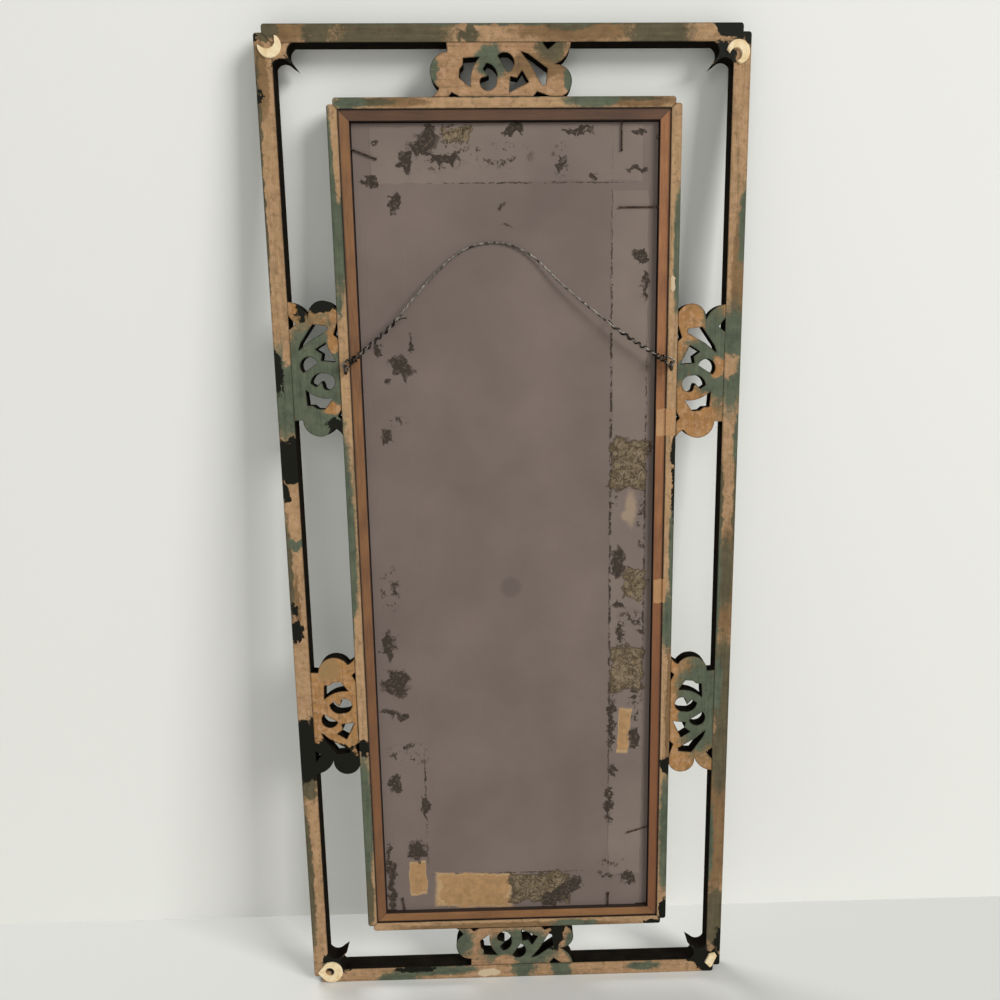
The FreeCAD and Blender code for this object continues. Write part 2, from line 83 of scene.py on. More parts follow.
def span(start, full, most=1.0):
    # settings: where a value starts to show, where it shows fully, and how much it shows there
    return {"From Min": start, "From Max": full, "To Max": most}


def addNode(tree, kind, inputs=None, **settings):
    # adds a node with its inputs and settings, and gives its outputs
    node = tree.nodes.new("ShaderNode" + kind)
    for key, value in settings.items():
        setattr(node, key, value)
    for key, value in (inputs or {}).items():
        if isinstance(value, bpy.types.NodeSocket):
            tree.links.new(value, node.inputs[key])
        else:
            node.inputs[key].default_value = value
    return node.outputs


def newMaterial(name):
    # an empty material, the surface's normal, and places in mm: in space, and flat on the mirror's back
    material = bpy.data.materials.new(name)
    material.use_nodes = True
    tree = material.node_tree
    tree.nodes.clear()
    where = addNode(tree, "TexCoord")
    place = addNode(tree, "VectorMath", {0: where["Object"], "Scale": 1 / mm}, operation="SCALE")[0]
    flat = addNode(tree, "VectorMath", {0: place, 1: acrossBack}, operation="MULTIPLY")[0]
    return material, tree, where["Normal"], place, flat


def wander(tree, place, flat, size, amount):
    # flat places pushed about by a noise, so that the rims of patches wander
    push = addNode(
        tree, "TexNoise", {"Vector": place, "Scale": 1 / size, "Detail": 5, "Roughness": 0.58},
    )["Color"]
    push = addNode(tree, "VectorMath", {0: push, 1: noiseMiddle}, operation="SUBTRACT")[0]
    return addNode(
        tree, "VectorMath", {0: push, 1: (amount[0], 0, amount[1]), 2: flat}, operation="MULTIPLY_ADD",
    )[0]


def patchField(tree, flat, patches, ragged, square=False):
    # distance to the nearest oval or square patch, 1 at its rim, plus a ragged noise
    # a patch is x, z, half width and half height in mm, and its turn in degrees
    nearest = None
    for x, z, wide, high, *turn in patches:
        spin = math.radians(turn[0]) if turn else 0
        oval = addNode(
            tree, "Mapping",
            {"Vector": flat, "Location": (x, 0, z), "Rotation": (0, spin, 0), "Scale": (wide, 1, high)},
            vector_type="TEXTURE",
        )[0]
        if square:
            aside = addNode(tree, "VectorMath", {0: oval}, operation="ABSOLUTE")[0]
            aside = addNode(tree, "SeparateXYZ", {0: aside})
            reach = addNode(tree, "Math", {0: aside[0], 1: aside[2]}, operation="MAXIMUM")[0]
        else:
            reach = addNode(tree, "VectorMath", {0: oval}, operation="LENGTH")["Value"]
        if nearest is None:
            nearest = reach
        else:
            nearest = addNode(tree, "Math", {0: nearest, 1: reach}, operation="MINIMUM")[0]
    return addNode(tree, "Math", {0: nearest, 1: ragged})[0]


def flakes(tree, flat, size):
    # flat places drawn to the nearest of scattered points, so that rims break off in straight-edged flakes
    cells = addNode(tree, "TexVoronoi", {"Vector": flat, "Scale": 1 / size})["Position"]
    spots = addNode(tree, "VectorMath", {0: cells, 1: acrossBack}, operation="MULTIPLY")[0]
    rough = addNode(
        tree, "TexNoise",
        {"Vector": spots, "Scale": 1 / (flakeGroup * size), "Detail": 3, "Roughness": 0.65},
    )[0]
    return spots, rough


def dusted(tree, under, over, noise, shown):
    # one coat softly over another, as far as a noise lies in a span, and the share of it that shows
    share = addNode(tree, "MapRange", {"Value": noise, **shown}, interpolation_type="SMOOTHSTEP")[0]
    return addNode(tree, "Mix", {0: share, 6: under, 7: over}, data_type="RGBA")[2], share


def laidOver(tree, under, over, field, blur=0.07):
    # one coat over another wherever its field is under 1
    return dusted(tree, under, over, field, span(1 + blur, 1 - blur))


def fromSides(tree, place, look):
    # how far in a place lies from the two upright sides, from the foot or head, and from the nearest of all
    split = addNode(tree, "SeparateXYZ", {0: place})
    aside = addNode(tree, "Math", {0: split[0]}, operation="ABSOLUTE")[0]
    across = addNode(tree, "Math", {0: look["side"], 1: aside}, operation="SUBTRACT")[0]
    above = addNode(tree, "Math", {0: split[2], 1: look["foot"]}, operation="SUBTRACT")[0]
    below = addNode(tree, "Math", {0: look["head"], 1: split[2]}, operation="SUBTRACT")[0]
    upright = addNode(tree, "Math", {0: above, 1: below}, operation="MINIMUM")[0]
    nearest = addNode(tree, "Math", {0: across, 1: upright}, operation="MINIMUM")[0]
    return across, upright, nearest


def sweptPiece(name, grids, material, smooth=True, looped=False):
    # each grid is a closed section carried along a path, with a polygon at each end of an open path
    points, faces, start = [], [], 0
    for grid in grids:
        rings, sides = grid.shape[:2]
        index = start + np.arange(rings * sides).reshape(rings, sides)
        rows = rings if looped else rings - 1
        turned, onward = np.roll(index, -1, axis=1), np.roll(index, -1, axis=0)
        both = np.roll(turned, -1, axis=0)
        faces += np.stack([index, turned, both, onward], axis=-1)[:rows].reshape(-1, 4).tolist()
        faces += [] if looped else [index[0][::-1].tolist(), index[-1].tolist()]
        points.append(grid.reshape(-1, 3))
        start += rings * sides
    mesh = bpy.data.meshes.new(name)
    mesh.from_pydata(np.concatenate(points).tolist(), [], faces)
    shell = bmesh.new()
    shell.from_mesh(mesh)
    bmesh.ops.recalc_face_normals(shell, faces=shell.faces)
    shell.to_mesh(mesh)
    shell.free()
    mesh.polygons.foreach_set("use_smooth", np.full(len(mesh.polygons), smooth))
    mesh.materials.append(material)
    piece = bpy.data.objects.new(name, mesh)
    scene.collection.objects.link(piece)
    return piece


def unit(vectors):
    return vectors / np.linalg.norm(vectors, axis=-1, keepdims=True)


def wavering(along, waves):
    # a sum of sines, each given by its reach, its length over a radian and its lag
    return sum(reach * np.sin(along / length + lag) for reach, length, lag in waves)


def runAlong(line):
    # how far along a line each of its points lies
    return np.concatenate([[0], np.cumsum(np.linalg.norm(np.diff(line, axis=0), axis=1))])


def pointsAt(line, run, places):
    return np.stack([np.interp(places, run, column) for column in line.T], axis=-1)


# Drawn steel, dulled: grey metal with dark blotches of tarnish, which are also rougher.
steel = dict(spread=span(0.4, 0.62), dulling=0.25, metallic=0.85)
wireSteel = dict(bright="#8f8980", dark="#2b2622", tarnish=5.0, roughness=0.42)
woundSteel = dict(bright="#352d27", dark="#100d0b", tarnish=3.0, roughness=0.5)


def dullSteel(name, look):
    material, tree, _, place, _ = newMaterial(name)
    stain = addNode(tree, "TexNoise", {"Vector": place, "Scale": 1 / look["tarnish"], "Detail": 4})[0]
    spread = addNode(tree, "MapRange", {"Value": stain, **steel["spread"]})[0]
    colour = addNode(
        tree, "Mix", {0: spread, 6: linear(look["bright"]), 7: linear(look["dark"])}, data_type="RGBA",
    )[2]
    rough = addNode(
        tree, "Math", {0: spread, 1: steel["dulling"], 2: look["roughness"]}, operation="MULTIPLY_ADD",
    )[0]
    shader = addNode(
        tree, "BsdfPrincipled", {"Base Color": colour, "Metallic": steel["metallic"], "Roughness": rough},
    )
    addNode(tree, "OutputMaterial", {0: shader[0]})
    return material


# The wire lies in a plane that leans from the screw eyes to the backing board. Lengths in mm.
wire = dict(
    eyeX=146.5, eyeDepth=-15.5, eyeHeight=627, rodHeight=3.6, apexDepth=-4.3, leftClimb=41, rightClimb=28,
    loopRadius=2.869, loopTurns=(-80, -130, -180, -230, -280), legReach=(10, 4.6), legAside=(1.2, 2.4),
    diameter=2.0, length=406, strandRadius=0.5, strandReach=0.5, step=0.7,
    pitch=11, sway=[(0.7, 21, 0), (0.5, 8.7, 0)],
    wrapEnds=(3, -4),  # where on the route the wound ends stop
    route=[
        (-132.6, 14.3), (-122.4, 22.6), (-109.6, 33.4), (-97.6, 45.4), (-86.4, 59.9), (-73.2, 74.4),
        (-56.4, 91.4), (-43.6, 101.6), (-31.0, 107.4), (-20.4, 109.6), (-10.6, 110.3), (-1.4, 109.2),
        (7.6, 106.4), (16.2, 102.2), (25.4, 95.6), (34.6, 86.8), (46.4, 74.8), (62.6, 60.6),
        (78.4, 48.2), (92.4, 36.8), (107.4, 26.2), (119.4, 18.3), (129.6, 12.2),
    ],
)
wireRoute = np.array(wire["route"])
wireLean = math.asin((wire["apexDepth"] - wire["eyeDepth"]) / wireRoute[:, 1].max())
wireLift = np.array([0, -math.cos(wireLean), math.sin(wireLean)])


def wirePlane(x, rise):
    # x across, and rise up the leaning plane from the eyes
    depth = wire["eyeDepth"] + rise * math.sin(wireLean)
    return np.stack([x, depth, wire["eyeHeight"] + rise * math.cos(wireLean)], axis=-1) * mm


def eyeLoop(way, climb):
    # two legs and five points about the ring's rod, as reach along the wire and distance aside
    turns = np.radians(wire["loopTurns"])
    far, near = wire["legReach"]
    slim, wide = wire["legAside"]
    reach = np.concatenate([[far, near], wire["loopRadius"] * np.cos(turns), [near, far]])
    aside = np.concatenate([[-slim, -wide], wire["loopRadius"] * np.sin(turns), [wide, slim]])
    along = math.radians(climb)
    x = reach * math.cos(along) - aside * math.sin(along) - wire["eyeX"]
    return wirePlane(way * x, wire["rodHeight"] + reach * math.sin(along) + aside * math.cos(along))


def smoothLine(points, step):
    # the route's own spline, read as points and spaced evenly
    curve = bpy.data.curves.new("route", "CURVE")
    curve.dimensions = "3D"
    spline = curve.splines.new("NURBS")
    spline.points.add(len(points) - 1)
    spline.points.foreach_set("co", np.c_[points, np.ones(len(points))].ravel())
    spline.order_u = 3
    spline.use_endpoint_u = True
    spline.resolution_u = 12
    holder = bpy.data.objects.new("route", curve)
    scene.collection.objects.link(holder)
    mesh = bpy.data.meshes.new_from_object(holder)
    line = np.zeros(len(mesh.vertices) * 3)
    mesh.vertices.foreach_get("co", line)
    line = line.reshape(-1, 3)
    bpy.data.objects.remove(holder)
    bpy.data.curves.remove(curve)
    bpy.data.meshes.remove(mesh)
    run = runAlong(line)
    even = np.linspace(0, run[-1], int(run[-1] / step) + 1)
    return pointsAt(line, run, even), even


def woundLine(centre, angle, reach):
    # a line that circles another: centre plus reach times the turned outward direction
    along = unit(np.gradient(centre, axis=0))
    across = unit(np.cross(wireLift, along))
    outward = np.cos(angle)[:, None] * wireLift + np.sin(angle)[:, None] * across
    return centre + np.asarray(reach)[..., None] * outward, outward


def roundStrand(line, outward, radius, sides=8):
    # circles of one radius, square to the line
    along = unit(np.gradient(line, axis=0))
    outward = unit(outward - along * np.sum(outward * along, axis=1, keepdims=True))
    across = np.cross(along, outward)
    turn = np.linspace(0, 2 * math.pi, sides, endpoint=False)[None, :, None]
    return line[:, None] + radius * (np.cos(turn) * outward[:, None] + np.sin(turn) * across[:, None])


def addHangingWire():
    drawn, browned = dullSteel("drawnSteelWire", wireSteel), dullSteel("brownedWireEnds", woundSteel)
    leftLoop, rightLoop = eyeLoop(1, wire["leftClimb"]), eyeLoop(-1, wire["rightClimb"])
    route = wirePlane(wireRoute[:, 0], wireRoute[:, 1])
    centre, run = smoothLine(np.concatenate([leftLoop[::-1], route, rightLoop]), wire["step"] * mm)
    # two strands, half a turn apart, twisted by hand and so not quite evenly
    turn = 2 * math.pi * run / (wire["pitch"] * mm) + wavering(run / mm, wire["sway"])
    reach = np.full(len(run), wire["strandReach"] * mm)
    strands = [woundLine(centre, turn + half, reach) for half in (0, math.pi)]
    grids = [roundStrand(line, outward, wire["strandRadius"] * mm) for line, outward in strands]
    cord = sweptPiece("hangingWire", grids, drawn)
    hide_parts("hanging_wire")
    leftEnd, rightEnd = (route[at] for at in wire["wrapEnds"])
    wraps = [
        addWrap("Left", centre, leftLoop, leftEnd, browned),
        addWrap("Right", centre[::-1], rightLoop, rightEnd, browned),
    ]
    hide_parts("wire_wrap_left")
    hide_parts("wire_wrap_right")
    for piece in (cord, *wraps):
        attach(piece, "hanging_wire")


# The wound ends. Pitch and reach are given by how far along they lie. Lengths in mm.
wrap = dict(
    strandRadius=0.58, step=0.25, lag=0.72, sway=[(0.5, 5.2, 0)], swell=[(0.1, 3.1, 0)],
    pitch=[(0, 2.3), (5, 2.3), (14, 6.4), (60, 8.32)],
    reach=[(0, 3.2), (5.4, 2.6), (11, 1.5), (60, 1.4)],
    stub=7.0, stubLean=1.8, stubDrop=1.2, stubShare=0.9, stubSteps=14, stubSpan=6,
)


def addWrap(side, centre, loop, end, material):
    # the two strands wound back: close round the loop, ever looser along the wire, and last a short stub
    root, start = (loop[1] + loop[-2]) / 2, (loop[0] + loop[-1]) / 2
    skip = len(centre) // 40  # past the wire's own loop
    first = np.argmin(np.linalg.norm(centre[skip:] - start, axis=1)) + skip
    last = np.argmin(np.linalg.norm(centre - end, axis=1))
    route = np.concatenate([[root, (root + start) / 2], centre[first:last]])
    line, run = smoothLine(route, wrap["step"] * mm)
    pitch = np.interp(run / mm, *np.array(wrap["pitch"]).T) * mm
    turn = np.cumsum(2 * math.pi * np.gradient(run) / pitch) + wavering(run / mm, wrap["sway"])
    reach = (np.interp(run / mm, *np.array(wrap["reach"]).T) + wavering(run / mm, wrap["swell"])) * mm
    radius = wrap["strandRadius"] * mm
    grids = []
    for lag in (0, wrap["lag"]):
        coil, outward = woundLine(line, turn + lag, reach)
        grids.append(roundStrand(coil, outward, radius))
    heading = unit(line[-1] - line[-wrap["stubSpan"]])
    away = unit(outward[-1] + heading * wrap["stubLean"])
    bend = np.linspace(0, 1, wrap["stubSteps"])[:, None]
    stub = coil[-1] + away * wrap["stub"] * mm * bend + np.array([0, 0, -wrap["stubDrop"] * mm]) * bend ** 2
    grids.append(roundStrand(stub, np.broadcast_to(wireLift, stub.shape), radius * wrap["stubShare"]))
    return sweptPiece(f"wireWrap{side}", grids, material)


addHangingWire()
print("hanging wire laid")


# Lacquered softwood seen from behind: a tan ground, worn grey-green paint and flakes of black lacquer.
# The sides and the front keep the black lacquer, rubbed brown along the front's rounded edges.
paint = dict(
    green=("#656b57", "#464d40"), olive=("#665d46", "#4b4534"), umber=("#8b6e4d", "#6d543a"),
    black="#15150f", lacquer=("#131210", "#211c16"), rubbed="#4f3623",
    speck="#57442f", veil="#76694c", bloom="#bd9877", grime="#463f2f",
    flake=(13, 5, 0.62), chip=(2.4, 3, 0.6), age=(5.5, 6, 0.66),  # noises: size in mm, detail, roughness
    rim=9, edge=2.2,  # mm: how coarsely rims wander, and how wide the dark line on edges is
    streaks=0.55,  # to a mm
    lacquerRoughness=0.3, backRoughness=0.72, blackRoughness=-0.22, backShine=0.1, relief=0.3,
)
# How far each sign of wear goes: shares of the noises that tear rims, soft rims, and spans.
wear = dict(
    broad=0.7, fine=0.5, calm=-0.6, broken=1.2, brokenCalm=-0.55, edgeBreaks=0.3,
    softRim=0.24, tanRim=0.2, paleRim=0.15,
    tone=span(0.75, 1.3), bloom=span(0.45, 0.66, 0.6), speck=span(0.67, 0.78, 0.7),
    veil=span(0.54, 0.66, 0.6), grime=span(0.5, 0.7, 0.45), edge=span(1.12, 1.0, 0.8),
    back=span(-0.4, -0.8), rubbed=span(0.52, 0.64), shine=span(0.1, 0.8, 0.5),
    frontEdge=0.62, frontEdgeReach=0.3,  # how far the front's rounded edges face forward
)
outerPatches = dict(
    ground=("#b3906b", "#8d7051"),
    umber=[
        (203, 175, 12, 90), (206, 700, 6, 60), (206, 420, 12, 60), (60, 908, 50, 9), (-204, 405, 3, 30),
        (-206, 870, 6, 30), (-180, 908, 16, 9),
    ],
    olive=[
        (203, 62, 12, 34), (-200, 910, 11, 8), (-156, 908, 13, 24), (-95, 908, 52, 30), (-30, 908, 6, 20),
        (54, 913, 19, 6), (132, 908, 27, 24), (-205, 219, 9, 14), (-210, 439, 4, 52), (-209, 120, 4, 80),
        (-210.5, 790, 1.5, 110), (205, 245, 10, 46), (204, 318, 16, 46), (203, 430, 8, 36),
        (211, 500, 3, 60), (197, 500, 2, 40), (206, 70, 4, 30), (-210, 850, 2, 40),
    ],
    green=[
        (-201, 606, 30, 41), (204, 634, 13, 50), (210, 748, 5, 34), (211, 560, 4, 24), (199, 320, 5, 30),
        (197, 150, 3, 40), (0, 915, 230, 2.4), (-201, 466, 10, 5), (-88, 10, 46, 6), (-126, 3, 22, 6),
        (6, 14, 13, 22), (45, 12, 10, 18), (130, 9, 18, 5), (196, 420, 3, 60),
    ],
    tan=[(-198, 640, 5, 9), (200, 626, 9, 10)],
    black=[
        (200, 910, 15, 8), (210, 901, 3, 6), (-210, 904, 2, 2), (-209, 858, 4, 4), (-210, 624, 5, 17),
        (-202, 544, 20, 18), (-208, 515, 3, 8), (-207, 403, 3, 3), (-208, 381, 8, 8), (-202, 258, 20, 28),
        (209, 35, 5, 11), (200, 11, 11, 11), (186, 889, 10, 9), (-187, 22, 12, 11), (187, 22, 12, 11),
        (-108, 13, 17, 3), (-186, 884, 9, 5),
    ],
    pale=("#c9b596", [(-30, 6, 10, 5)]),
)
fretPatches = dict(
    ground=("#b08352", "#8b643d"),
    umber=[(26, 880, 36, 10), (176, 590, 16, 20)],
    olive=[(40, 900, 14, 16), (-72, 30, 14, 24)],
    green=[
        (-12, 883, 13, 14), (-174, 612, 36, 60), (182, 632, 24, 52), (156, 621, 9, 11), (183, 297, 26, 54),
        (-60, 42, 14, 18), (2, 32, 38, 25), (58, 36, 10, 20), (-61, 874, 5, 14), (55, 869, 5, 12),
    ],
    tan=[
        (163, 666, 12, 18), (-157, 653, 6, 11), (-161, 592, 8, 5), (190, 625, 6, 10), (168, 582, 22, 24),
        (153, 277, 8, 38), (-14, 19, 13, 7),
    ],
    black=[
        (-184, 679, 5, 7), (-166, 684, 13, 6), (-157, 574, 9, 8), (-174, 238, 42, 21, 28), (40, 47, 7, 13),
    ],
    pale=("#957852", [(-178, 341, 11, 11)]),
)
railFretPatches = dict(fretPatches, ground=("#b08a66", "#8b6c4e"))
innerPatches = dict(
    ground=("#b8966e", "#97785a"),
    umber=[(151, 290, 2.5, 80), (-95, 852, 30, 4), (115, 852, 34, 5), (0, 60, 120, 4)],
    olive=[(-118, 852, 26, 3), (-151, 100, 5, 40), (112, 854, 26, 2)],
    green=[
        (-134, 852, 13, 6), (74, 853, 24, 6), (-152, 767, 3, 90), (-149, 746, 8, 58), (-151, 684, 4, 12),
        (-153.5, 470, 8, 110), (-150, 185, 7, 70), (152, 728, 4.5, 54), (152, 454, 3.5, 50),
        (150, 382, 7, 30), (151, 160, 7, 66), (58, 60, 24, 6), (0, 857, 160, 1.6),
    ],
    tan=[(-146, 800, 3, 30), (-148, 360, 4, 40)],
    black=[
        (152, 549, 3.5, 10), (153, 511, 2.2, 27), (-149, 259, 7, 7), (150, 234, 6, 7), (151, 72, 5, 11),
        (143, 59, 11, 3),
    ],
    pale=("#c9b596", [(148, 700, 2, 6)]),
)


def agedLacquer(name, patches, grain, brush):
    material, tree, normal, place, flat = newMaterial(name)
    flake, chip, age = (
        addNode(
            tree, "TexNoise", {"Vector": place, "Scale": 1 / size, "Detail": detail, "Roughness": roughness},
        )
        for size, detail, roughness in (paint["flake"], paint["chip"], paint["age"])
    )
    flake, chip = flake[0], chip[0]
    age = addNode(tree, "SeparateXYZ", {0: age["Color"]})
    broad = addNode(tree, "Math", {0: flake, 1: wear["broad"], 2: wear["calm"]}, operation="MULTIPLY_ADD")[0]
    ragged = addNode(tree, "Math", {0: chip, 1: wear["fine"], 2: broad}, operation="MULTIPLY_ADD")[0]
    flat = wander(tree, place, flat, paint["rim"], brush)
    # ground: long streaks along the bar and broad tone changes, then pale bloom, dark specks and a veil
    drawn = addNode(tree, "VectorMath", {0: place, 1: grain}, operation="MULTIPLY")[0]
    streak = addNode(
        tree, "TexNoise", {"Vector": drawn, "Scale": paint["streaks"], "Detail": 6, "Roughness": 0.7},
    )[0]
    tone = addNode(tree, "Math", {0: streak, 1: flake})[0]
    tone = addNode(tree, "MapRange", {"Value": tone, **wear["tone"]})[0]
    light, deep = (linear(code) for code in patches["ground"])
    ground = addNode(tree, "Mix", {0: tone, 6: light, 7: deep}, data_type="RGBA")[2]
    ground, _ = dusted(tree, ground, linear(paint["bloom"]), age[0], wear["bloom"])
    coat, _ = dusted(tree, ground, linear(paint["speck"]), chip, wear["speck"])
    coat, _ = dusted(tree, coat, linear(paint["veil"]), streak, wear["veil"])
    for kind in ("umber", "olive", "green"):
        light, deep = (linear(code) for code in paint[kind])
        shade = addNode(tree, "Mix", {0: tone, 6: light, 7: deep}, data_type="RGBA")[2]
        coat, _ = laidOver(tree, coat, shade, patchField(tree, flat, patches[kind], ragged), wear["softRim"])
    coat, _ = laidOver(tree, coat, ground, patchField(tree, flat, patches["tan"], ragged), wear["tanRim"])
    coat, _ = dusted(tree, coat, linear(paint["grime"]), age[1], wear["grime"])
    # flakes of black lacquer, and the pale scrapes
    broken, rough = flakes(tree, flat, paint["chip"][0])
    flaked = addNode(
        tree, "Math", {0: rough, 1: wear["broken"], 2: wear["brokenCalm"]}, operation="MULTIPLY_ADD",
    )[0]
    flaked = addNode(tree, "Math", {0: flaked, 1: broad})[0]
    blackCoat = linear(paint["black"])
    coat, black = laidOver(tree, coat, blackCoat, patchField(tree, broken, patches["black"], flaked))
    pale, places = patches["pale"]
    coat, _ = laidOver(tree, coat, linear(pale), patchField(tree, flat, places, ragged), wear["paleRim"])
    # a thin broken line of lacquer along the edges, found where a rounded normal leaves the true one
    rounded = addNode(tree, "Bevel", {"Radius": paint["edge"] * mm}, samples=6)[0]
    true = addNode(tree, "NewGeometry")["Normal"]
    bent = addNode(tree, "VectorMath", {0: rounded, 1: true}, operation="DOT_PRODUCT")["Value"]
    line = addNode(tree, "Math", {0: flake, 1: wear["edgeBreaks"], 2: bent}, operation="MULTIPLY_ADD")[0]
    line = addNode(tree, "MapRange", {"Value": line, **wear["edge"]})[0]
    coat = addNode(tree, "Mix", {0: line, 6: coat, 7: blackCoat}, data_type="RGBA")[2]
    # black lacquer everywhere but on the back, rubbed through along the front's rounded edges
    facing = addNode(tree, "SeparateXYZ", {0: normal})[1]
    behind = addNode(tree, "MapRange", {"Value": facing, **wear["back"]}, interpolation_type="SMOOTHSTEP")[0]
    edge = addNode(
        tree, "Math", {0: facing, 1: wear["frontEdge"], 2: wear["frontEdgeReach"]}, operation="COMPARE",
    )[0]
    worn = addNode(tree, "MapRange", {"Value": flake, **wear["rubbed"]})[0]
    worn = addNode(tree, "Math", {0: worn, 1: edge}, operation="MULTIPLY")[0]
    dark, brown = (linear(code) for code in paint["lacquer"])
    lacquer = addNode(tree, "Mix", {0: tone, 6: dark, 7: brown}, data_type="RGBA")[2]
    lacquer = addNode(tree, "Mix", {0: worn, 6: lacquer, 7: linear(paint["rubbed"])}, data_type="RGBA")[2]
    colour = addNode(tree, "Mix", {0: behind, 6: lacquer, 7: coat}, data_type="RGBA")[2]
    rough = addNode(
        tree, "MapRange",
        {"Value": behind, "To Min": paint["lacquerRoughness"], "To Max": paint["backRoughness"]},
    )[0]
    rough = addNode(
        tree, "Math", {0: black, 1: paint["blackRoughness"], 2: rough}, operation="MULTIPLY_ADD",
    )[0]
    # the front shines, the back and the sides are dull with dust
    shine = addNode(tree, "MapRange", {"Value": facing, **wear["shine"]})[0]
    shine = addNode(tree, "Math", {0: behind, 1: paint["backShine"], 2: shine}, operation="MULTIPLY_ADD")[0]
    height = addNode(tree, "Math", {0: chip, 1: behind}, operation="MULTIPLY")[0]
    bump = addNode(tree, "Bump", {"Height": height, "Strength": 0.6, "Distance": paint["relief"] * mm})[0]
    shader = addNode(
        tree, "BsdfPrincipled",
        {"Base Color": colour, "Roughness": rough, "Normal": bump, "IOR": 1.5, "Specular IOR Level": shine},
    )
    addNode(tree, "OutputMaterial", {0: shader[0]})
    return material


def dress(material, *nodes):
    for node in nodes:
        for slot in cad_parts[node].material_slots:
            slot.material = material


alongX, alongZ = (0.05, 1, 1), (1, 1, 0.05)
spurs = [f"corner_spur_{corner}" for corner in ("top_left", "top_right", "bottom_left", "bottom_right")]
sideFrets = [f"fret_{spot}" for spot in ("left_upper", "left_lower", "right_upper", "right_lower")]
# each finish: its patches, the way of its grain, how far its rims wander in mm, and the nodes that have it
finishes = dict(
    outerRailLacquer=(outerPatches, alongX, (30, 8), ["outer_top_rail", "outer_bottom_rail"]),
    outerStileLacquer=(outerPatches, alongZ, (8, 30), ["outer_left_stile", "outer_right_stile", *spurs]),
    sideFretLacquer=(fretPatches, alongZ, (16, 16), sideFrets),
    railFretLacquer=(railFretPatches, alongX, (16, 16), ["fret_top", "fret_bottom"]),
    innerRailLacquer=(innerPatches, alongX, (26, 5), ["inner_top_rail", "inner_bottom_rail"]),
    innerStileLacquer=(innerPatches, alongZ, (5, 26), ["inner_left_stile", "inner_right_stile"]),
)
for name, (patches, grain, brush, nodes) in finishes.items():
    dress(agedLacquer(name, patches, grain, brush), *nodes)
print("lacquered frames dressed")


# Bare red-brown softwood strips, planed and left raw: fine grain along each strip, dark mitres and painted
# shade.
# Each look is its light tone, its deep tone, its tone near the foot and the way of its grain.
rawWood = dict(grain=1.1, broad=45, tone=span(0.72, 1.28), fall=span(560, 300), relief=0.15, roughness=0.68)
liner = dict(
    side=143.7, foot=67.3, head=846.7,  # mm: the rebate that the strips fill
    # a dark brown for the mitre joints, also used as painted shade in the gap to the frame and on the turned
    # faces
    jointsAndShade="#2a1b12", seam=span(1.5, 0.5), mitre=0.7, turned=span(-0.8, -0.3),
    looks=dict(
        # the tones differ by side as painted light and shade: the top strip darker as painted shadow, the
        # right one lighter as painted light
        top=("#5e3d22", "#3f2615", "#5e3d22", alongX), bottom=("#90663c", "#6b4426", "#90663c", alongX),
        left=("#8e633a", "#634026", "#7d522e", alongZ), right=("#a26c3f", "#6b4023", "#7a4b28", alongZ),
    ),
)


def bareWood(name, light, deep, low, grain, joints=False):
    material, tree, normal, place, _ = newMaterial(name)
    drawn = addNode(tree, "VectorMath", {0: place, 1: grain}, operation="MULTIPLY")[0]
    grainLines = addNode(
        tree, "TexNoise",
        {"Vector": drawn, "Scale": 1 / rawWood["grain"], "Detail": 6, "Roughness": 0.65, "Distortion": 0.4},
    )[0]
    broad = addNode(tree, "TexNoise", {"Vector": place, "Scale": 1 / rawWood["broad"], "Detail": 3})[0]
    tone = addNode(tree, "Math", {0: grainLines, 1: broad})[0]
    tone = addNode(tree, "MapRange", {"Value": tone, **rawWood["tone"]})[0]
    # a second tone towards the foot: the same on the top and bottom strips, darker on the side strips
    height = addNode(tree, "SeparateXYZ", {0: place})[2]
    fall = addNode(tree, "MapRange", {"Value": height, **rawWood["fall"]})[0]
    pale = addNode(tree, "Mix", {0: fall, 6: linear(light), 7: linear(low)}, data_type="RGBA")[2]
    colour = addNode(tree, "Mix", {0: tone, 6: pale, 7: linear(deep)}, data_type="RGBA")[2]
    if joints:
        # painted shade in the gap at the joint with the frame and on the faces turned from the back, and
        # dark mitre joints
        across, upright, seam = fromSides(tree, place, liner)
        mitre = addNode(tree, "Math", {0: across, 1: upright}, operation="SUBTRACT")[0]
        mitre = addNode(tree, "Math", {0: mitre}, operation="ABSOLUTE")[0]
        mitre = addNode(tree, "Math", {0: mitre, 1: liner["mitre"]})[0]
        jointsAndShade = addNode(tree, "Math", {0: seam, 1: mitre}, operation="MINIMUM")[0]
        jointsAndShade = addNode(tree, "MapRange", {"Value": jointsAndShade, **liner["seam"]})[0]
        facing = addNode(tree, "SeparateXYZ", {0: normal})[1]
        turned = addNode(tree, "MapRange", {"Value": facing, **liner["turned"]})[0]
        jointsAndShade = addNode(tree, "Math", {0: jointsAndShade, 1: turned}, operation="MAXIMUM")[0]
        colour = addNode(tree, "Mix", {0: jointsAndShade, 6: colour, 7: linear(liner["jointsAndShade"])}, data_type="RGBA")[2]
    relief = addNode(
        tree, "Bump", {"Height": grainLines, "Strength": 0.5, "Distance": rawWood["relief"] * mm},
    )[0]
    shader = addNode(
        tree, "BsdfPrincipled",
        {"Base Color": colour, "Roughness": rawWood["roughness"], "Normal": relief, "IOR": 1.5},
    )
    addNode(tree, "OutputMaterial", {0: shader[0]})
    return material


# one wood in four copies, each side's tones painted with the light or shade that side gets
for side, look in liner["looks"].items():
    dress(bareWood(f"bareLinerWood.{side}", *look, joints=True), f"liner_{side}")
# pale beech, hidden in the joints
joinery = bareWood("beechJoinery", "#c9a373", "#ab8455", "#c9a373", alongX)
dress(joinery, "fret_dowels", "outer_mitre_splines", "inner_mitre_splines")
print("liners dressed")


